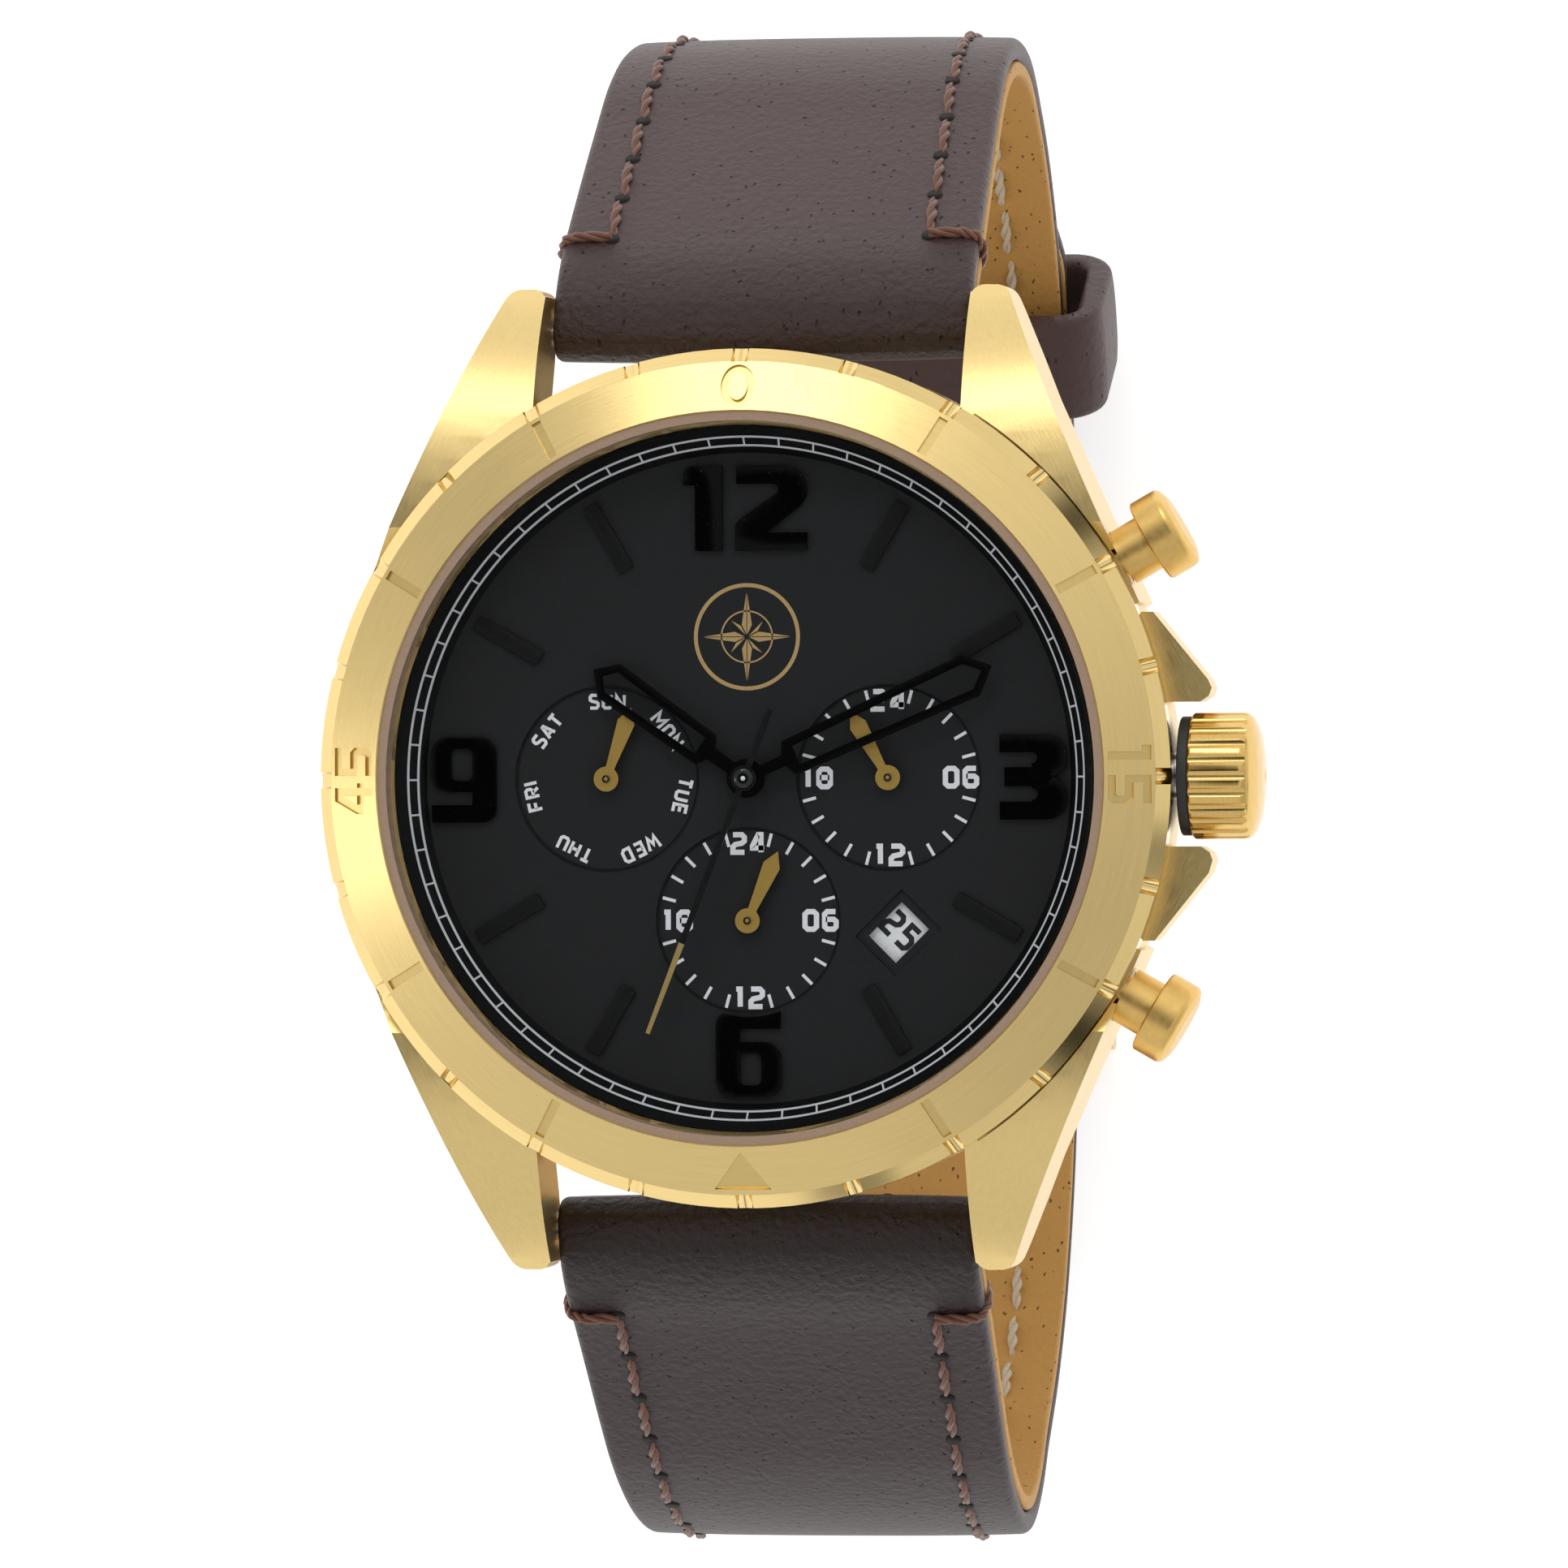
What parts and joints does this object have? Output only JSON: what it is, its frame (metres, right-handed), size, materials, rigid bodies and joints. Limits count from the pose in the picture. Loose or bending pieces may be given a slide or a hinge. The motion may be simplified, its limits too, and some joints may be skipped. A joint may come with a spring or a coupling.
{
  "type": "chronograph wristwatch",
  "caption": "Wristwatch with a black three-counter dial, gold-toned case, bezel, crown and pushers and a stitched brown leather strap, buckled closed and standing dial up.",
  "frame": {"origin": "point of the resting plane straight under the dial's centre, on the fixed keeper's flat outer face", "axes": "+Z out of the dial, +Y towards twelve o'clock, +X towards the crown at three o'clock"},
  "size_m": [0.0485, 0.0808, 0.0627],
  "materials": {
    "gold_steel": "champagne gold plated, brushed",
    "gold_polished": "gold plated, polished",
    "steel": "brushed",
    "steel_plain": "polished",
    "crystal": "clear, polished",
    "gasket_tan": "matte",
    "gasket_black": "matte",
    "dial_black": "matte, fine grain",
    "black_gloss": "glossy",
    "hand_black": "satin",
    "hand_gold": "satin, fine sparkle",
    "brass_wheel": "satin",
    "plate": "satin",
    "board_green": "matte",
    "copper_wire": "lacquered wire",
    "iron": "satin",
    "holder_white": "matte",
    "date_white": "matte",
    "leather_brown": "fine grain, matte",
    "lining_tan": "smooth, matte"
  },
  "bodies": {
    "watch_head": {"case_middle": "gold_steel", "bezel": "gold_steel", "crystal": "crystal", "crystal_gasket": "gasket_tan", "rehaut_ring": "dial_black", "dial": "dial_black", "applied_numerals": "black_gloss", "applied_markers": "black_gloss", "case_back": "steel", "case_back_gasket": "gasket_black", "case_back_screws": "steel_plain", "crown_tube": "steel_plain", "pusher_tubes": "gold_polished", "pusher_springs": "steel_plain", "movement_holder": "holder_white", "main_plate": "plate", "train_bridge": "plate", "circuit_board": "board_green", "battery": "steel_plain", "battery_clamp": "steel_plain", "coil_core": "iron", "coil_winding": "copper_wire", "stator": "iron", "movement_screws": "steel_plain", "strap_upper_leather": "leather_brown", "strap_upper_lining": "lining_tan", "strap_lower_leather": "leather_brown", "strap_lower_lining": "lining_tan", "lug_spring_bars": "steel_plain", "buckle_spring_bar": "steel_plain", "keeper_fixed": "leather_brown"},
    "minute_arbor": {"cannon_pinion": "steel_plain", "minute_hand": "hand_black"},
    "hour_arbor": {"hour_wheel": "brass_wheel", "hour_hand": "hand_black"},
    "seconds_arbor": {"seconds_wheel": "brass_wheel", "seconds_hand": "hand_gold"},
    "minute_wheel": {"minute_wheel": "brass_wheel"},
    "idler_wheel": {"idler_wheel": "brass_wheel"},
    "right_24h_arbor": {"right_24h_hand": "hand_gold"},
    "day_arbor": {"day_hand": "hand_gold"},
    "lower_24h_arbor": {"lower_24h_hand": "hand_gold"},
    "third_wheel": {"third_wheel": "brass_wheel"},
    "center_wheel": {"center_wheel": "brass_wheel"},
    "intermediate_wheel": {"intermediate_wheel": "brass_wheel"},
    "rotor": {"rotor": "iron"},
    "date_disc": {"date_disc": "date_white"},
    "crown_slide": {"crown_gasket": "gasket_black"},
    "crown_group": {"crown": "gold_polished", "crown_ring": "black_gloss", "crown_stem": "steel_plain"},
    "clutch_pinion": {"clutch_pinion": "brass_wheel"},
    "setting_lever": {"setting_lever": "steel_plain"},
    "pusher_upper": {"pusher_upper": "gold_polished", "pusher_upper_clip": "steel_plain"},
    "pusher_lower": {"pusher_lower": "gold_polished", "pusher_lower_clip": "steel_plain"},
    "buckle_frame": {"buckle_frame": "gold_polished"},
    "buckle_tongue": {"buckle_tongue": "gold_polished"},
    "keeper_free": {"keeper_free": "leather_brown"}
  },
  "joints": [
    {"name": "minute_turn", "type": "hinge", "parent": "watch_head", "child": "minute_arbor", "pos_m": [0, 0, 0.0599], "axis": [0, 0, -1], "continuous": true},
    {"name": "minute_wheel_turn", "type": "hinge", "parent": "watch_head", "child": "minute_wheel", "pos_m": [-0.0024, 0, 0.0599], "axis": [0, 0, -1], "continuous": true},
    {"name": "hour_turn", "type": "hinge", "parent": "watch_head", "child": "hour_arbor", "pos_m": [0, 0, 0.0599], "axis": [0, 0, -1], "continuous": true},
    {"name": "idler_turn", "type": "hinge", "parent": "watch_head", "child": "idler_wheel", "pos_m": [0.00266, 0.00095, 0.0599], "axis": [0, 0, -1], "continuous": true},
    {"name": "right_24h_turn", "type": "hinge", "parent": "watch_head", "child": "right_24h_arbor", "pos_m": [0.0073, 0, 0.0599], "axis": [0, 0, -1], "continuous": true},
    {"name": "seconds_turn", "type": "hinge", "parent": "watch_head", "child": "seconds_arbor", "pos_m": [0, 0, 0.0599], "axis": [0, 0, -1], "continuous": true},
    {"name": "third_wheel_turn", "type": "hinge", "parent": "watch_head", "child": "third_wheel", "pos_m": [0, -0.00306, 0.0599], "axis": [0, 0, -1], "continuous": true},
    {"name": "center_wheel_turn", "type": "hinge", "parent": "watch_head", "child": "center_wheel", "pos_m": [0, 0, 0.0599], "axis": [0, 0, -1], "continuous": true},
    {"name": "intermediate_turn", "type": "hinge", "parent": "watch_head", "child": "intermediate_wheel", "pos_m": [0, 0.003, 0.0599], "axis": [0, 0, -1], "continuous": true},
    {"name": "rotor_turn", "type": "hinge", "parent": "watch_head", "child": "rotor", "pos_m": [0, 0.00489, 0.0599], "axis": [0, 0, -1], "continuous": true},
    {"name": "day_turn", "type": "hinge", "parent": "watch_head", "child": "day_arbor", "pos_m": [-0.0073, 0, 0.0599], "axis": [0, 0, -1], "continuous": true},
    {"name": "lower_24h_turn", "type": "hinge", "parent": "watch_head", "child": "lower_24h_arbor", "pos_m": [0, -0.0073, 0.0599], "axis": [0, 0, -1], "continuous": true},
    {"name": "date_turn", "type": "hinge", "parent": "watch_head", "child": "date_disc", "pos_m": [0, 0, 0.0599], "axis": [0, 0, -1], "continuous": true},
    {"name": "crown_pull", "type": "slide", "parent": "watch_head", "child": "crown_slide", "axis": [1, 0, 0], "range_m": [0, 0.0012]},
    {"name": "crown_turn", "type": "hinge", "parent": "crown_slide", "child": "crown_group", "pos_m": [0.022, 0, 0.0576], "axis": [1, 0, 0], "continuous": true},
    {"name": "clutch_turn", "type": "hinge", "parent": "watch_head", "child": "clutch_pinion", "pos_m": [0.01, 0, 0.0576], "axis": [1, 0, 0], "continuous": true},
    {"name": "lever_swing", "type": "hinge", "parent": "watch_head", "child": "setting_lever", "pos_m": [0.0112, -0.0046, 0.0569], "axis": [0, 0, -1], "range_deg": [0, 15.4]},
    {"name": "pusher_upper_press", "type": "slide", "parent": "watch_head", "child": "pusher_upper", "axis": [-0.866, -0.5, 0], "range_m": [0, 0.0008], "stiffness_N_per_m": 400, "springref_m": -0.0008},
    {"name": "pusher_lower_press", "type": "slide", "parent": "watch_head", "child": "pusher_lower", "axis": [-0.866, 0.5, 0], "range_m": [0, 0.0008], "stiffness_N_per_m": 400, "springref_m": -0.0008},
    {"name": "buckle_frame_tilt", "type": "hinge", "parent": "watch_head", "child": "buckle_frame", "pos_m": [0, -0.0042, 0.0057], "axis": [1, 0, 0], "range_deg": [0, 3]},
    {"name": "buckle_tongue_tilt", "type": "hinge", "parent": "buckle_frame", "child": "buckle_tongue", "pos_m": [0, -0.0042, 0.0057], "axis": [1, 0, 0], "range_deg": [0, 3]},
    {"name": "keeper_free_slide", "type": "slide", "parent": "watch_head", "child": "keeper_free", "axis": [0, 0.8949, 0.4462], "range_m": [-0.0012, 0.0012]}
  ],
  "couplings": [
    {"joint": "minute_wheel_turn", "follows": "minute_turn", "ratio": -0.33333},
    {"joint": "hour_turn", "follows": "minute_turn", "ratio": 0.083333},
    {"joint": "idler_turn", "follows": "minute_turn", "ratio": -0.17778},
    {"joint": "right_24h_turn", "follows": "minute_turn", "ratio": 0.041667},
    {"joint": "third_wheel_turn", "follows": "seconds_turn", "ratio": -0.13333},
    {"joint": "center_wheel_turn", "follows": "seconds_turn", "ratio": 0.016667},
    {"joint": "intermediate_turn", "follows": "seconds_turn", "ratio": -5},
    {"joint": "rotor_turn", "follows": "seconds_turn", "ratio": 30},
    {"joint": "clutch_turn", "follows": "crown_turn", "ratio": 1},
    {"joint": "lever_swing", "follows": "crown_pull", "rad_per_m": 222.22}
  ]
}
